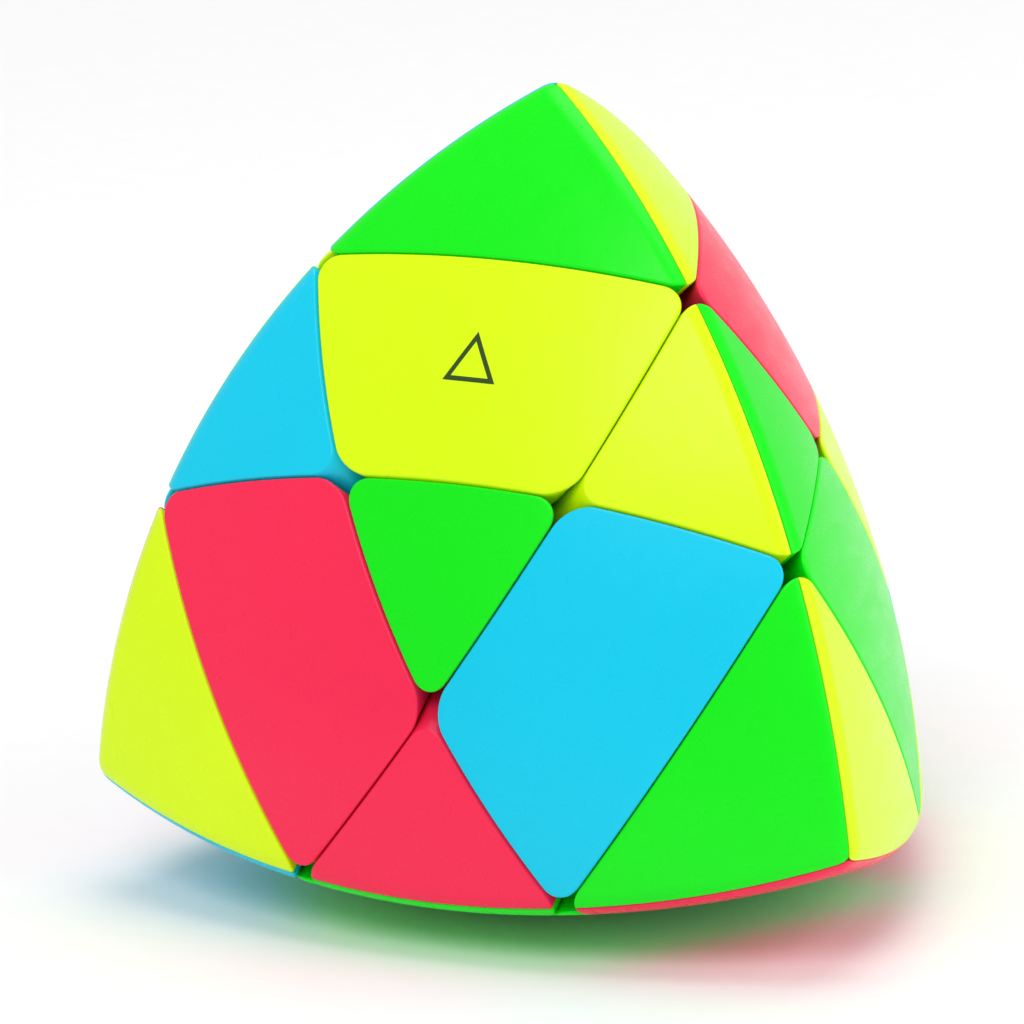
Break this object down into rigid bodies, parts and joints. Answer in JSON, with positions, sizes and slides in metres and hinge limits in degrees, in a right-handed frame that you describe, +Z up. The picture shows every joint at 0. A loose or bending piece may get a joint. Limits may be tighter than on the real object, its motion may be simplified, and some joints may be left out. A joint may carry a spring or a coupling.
{
  "type": "pyramid twisty puzzle",
  "caption": "Rounded tetrahedral twisty puzzle with a three-axis turning mechanism, one colour per face piece, shown scrambled.",
  "frame": {"origin": "centre of the core, where the three turning axes cross", "axes": "+Z up with one face below, -Y towards the front face, +X towards the front face's right-hand tip"},
  "size_m": [0.077, 0.0748, 0.0733],
  "materials": {
    "green_plastic": "gloss",
    "yellow_plastic": "gloss",
    "blue_plastic": "gloss",
    "pink_plastic": "gloss",
    "foot_plastic": "satin",
    "core_plastic": "matte",
    "steel": "satin"
  },
  "bodies": {
    "core": {"core": "core_plastic", "edge_bottom_right_cap": "green_plastic", "edge_feet_middle": "foot_plastic", "edge_front_left_cap": "pink_plastic", "edge_left_top_cap": "yellow_plastic", "edge_right_rear_cap": "blue_plastic", "hub_front_bottom": "foot_plastic", "hub_front_left": "foot_plastic", "hub_left_right": "foot_plastic", "hub_right_bottom": "foot_plastic", "ridge_front_bottom_shell_bottom": "green_plastic", "ridge_front_bottom_shell_front": "pink_plastic", "ridge_front_left_shell_front": "blue_plastic", "ridge_front_left_shell_left": "green_plastic", "ridge_left_right_shell_left": "blue_plastic", "ridge_left_right_shell_right": "yellow_plastic", "ridge_right_bottom_shell_bottom": "pink_plastic", "ridge_right_bottom_shell_right": "yellow_plastic", "screws": "steel", "spring_front_right": "steel", "spring_left_bottom": "steel", "spring_seats_middle": "steel", "springs_middle": "steel"},
    "front_right_seat": {"spring_seat_front_right": "steel"},
    "front_right_layer": {"corner_feet_front_right": "foot_plastic", "edge_feet_front_right": "foot_plastic", "edge_front_right_cap": "blue_plastic", "edge_front_top_cap": "yellow_plastic", "edge_right_right_cap": "green_plastic", "edge_right_top_cap": "pink_plastic", "face_front_cap": "green_plastic", "face_right_cap": "yellow_plastic", "hub_front_right": "foot_plastic", "ridge_front_right_shell_front": "yellow_plastic", "ridge_front_right_shell_right": "green_plastic", "tip_right_shell_bottom": "pink_plastic", "tip_right_shell_front": "green_plastic", "tip_right_shell_right": "yellow_plastic", "tip_top_shell_front": "green_plastic", "tip_top_shell_left": "blue_plastic", "tip_top_shell_right": "yellow_plastic"},
    "left_bottom_seat": {"spring_seat_left_bottom": "steel"},
    "left_bottom_layer": {"corner_feet_left_bottom": "foot_plastic", "edge_bottom_left_cap": "green_plastic", "edge_bottom_rear_cap": "yellow_plastic", "edge_feet_left_bottom": "foot_plastic", "edge_left_left_cap": "blue_plastic", "edge_left_rear_cap": "pink_plastic", "face_bottom_cap": "blue_plastic", "face_left_cap": "pink_plastic", "hub_left_bottom": "foot_plastic", "ridge_left_bottom_shell_bottom": "pink_plastic", "ridge_left_bottom_shell_left": "blue_plastic", "tip_left_shell_bottom": "blue_plastic", "tip_left_shell_front": "yellow_plastic", "tip_left_shell_left": "pink_plastic", "tip_rear_shell_bottom": "green_plastic", "tip_rear_shell_left": "blue_plastic", "tip_rear_shell_right": "pink_plastic"}
  },
  "joints": [
    {"name": "front_right_float", "type": "slide", "parent": "core", "child": "front_right_seat", "axis": [0.7071, -0.4082, 0.5774], "range_m": [0, 0.00025], "stiffness_N_per_m": 400, "springref_m": -0.003, "deforming": ["spring_front_right"]},
    {"name": "front_right_turn", "type": "hinge", "parent": "front_right_seat", "child": "front_right_layer", "pos_m": [0, 0, 0], "axis": [0.7071, -0.4082, 0.5774], "continuous": true},
    {"name": "left_bottom_float", "type": "slide", "parent": "core", "child": "left_bottom_seat", "axis": [-0.7071, 0.4082, -0.5774], "range_m": [0, 0.00025], "stiffness_N_per_m": 400, "springref_m": -0.003, "deforming": ["spring_left_bottom"]},
    {"name": "left_bottom_turn", "type": "hinge", "parent": "left_bottom_seat", "child": "left_bottom_layer", "pos_m": [0, 0, 0], "axis": [-0.7071, 0.4082, -0.5774], "continuous": true}
  ]
}
